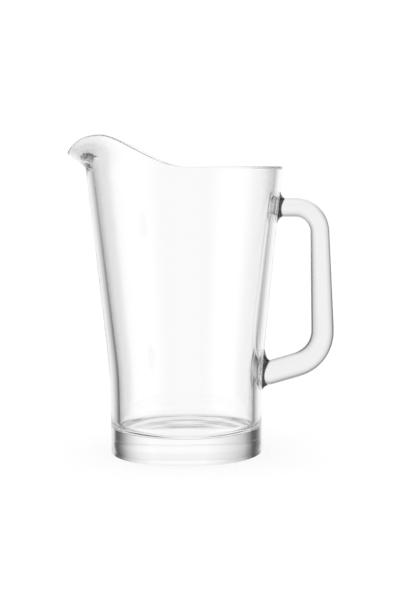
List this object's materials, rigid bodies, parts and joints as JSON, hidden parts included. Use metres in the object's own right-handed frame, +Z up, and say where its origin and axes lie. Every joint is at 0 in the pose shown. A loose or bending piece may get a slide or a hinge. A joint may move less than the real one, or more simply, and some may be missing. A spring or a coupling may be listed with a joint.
{
  "type": "beer pitcher",
  "caption": "Tapered clear-glass pouring pitcher with a heavy base, a raised beak spout and a fused bar handle, for serving drinks at a table.",
  "frame": {"origin": "centre of the base's resting plane, on the body's axis", "axes": "+Z up along the body's axis, +X towards the handle, -X towards the spout"},
  "size_m": [0.1871, 0.1378, 0.2239],
  "materials": {
    "vessel_glass": "clear, fire-polished",
    "handle_glass": "clear, fire-polished"
  },
  "bodies": {
    "root": {"body": "vessel_glass", "pouring_rim": "vessel_glass", "handle": "handle_glass", "upper_weld": "handle_glass", "lower_weld": "handle_glass"}
  },
  "joints": []
}
